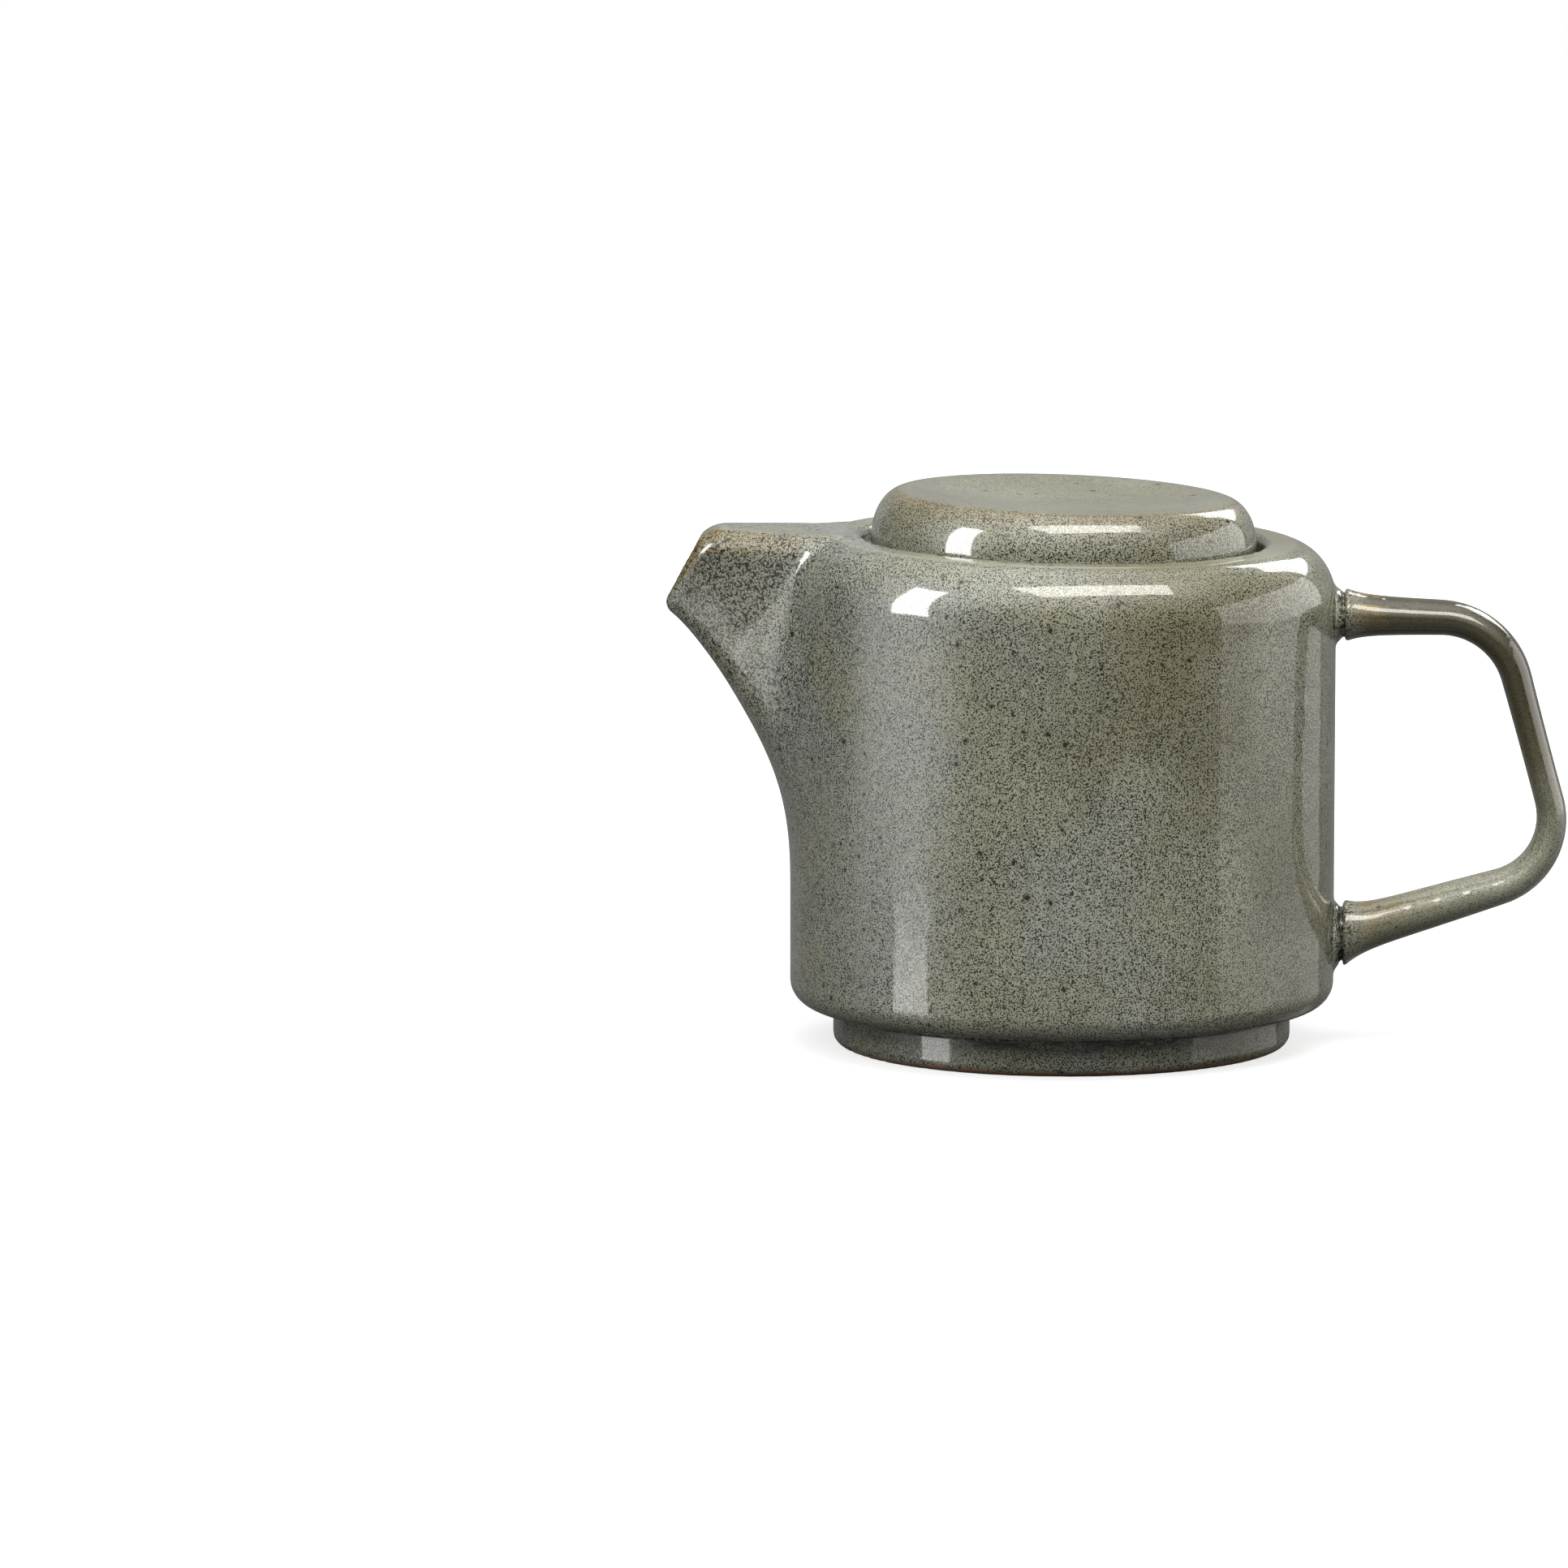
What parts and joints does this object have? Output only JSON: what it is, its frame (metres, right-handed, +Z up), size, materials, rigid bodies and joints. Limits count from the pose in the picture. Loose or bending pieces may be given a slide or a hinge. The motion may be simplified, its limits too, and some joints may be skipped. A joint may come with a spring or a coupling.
{
  "type": "teapot",
  "caption": "Small round stoneware teapot with a beak spout, a loop handle, a foot ring and a thick dished drop-in lid, made to stand on a matching cup",
  "frame": {"origin": "centre of the foot ring on the plane that the pot stands on", "axes": "Z is up along the axis of the pot, the handle points along +X and the spout along -X"},
  "size_m": [0.1621, 0.098, 0.1007],
  "materials": {
    "body_glaze": "gloss glaze, grey green with fine dark speckle and ochre edges",
    "lid_glaze": "gloss glaze, grey with fine dark speckle and an ochre rounded edge"
  },
  "bodies": {
    "root": {"body": "body_glaze", "lid": "lid_glaze"}
  },
  "joints": []
}
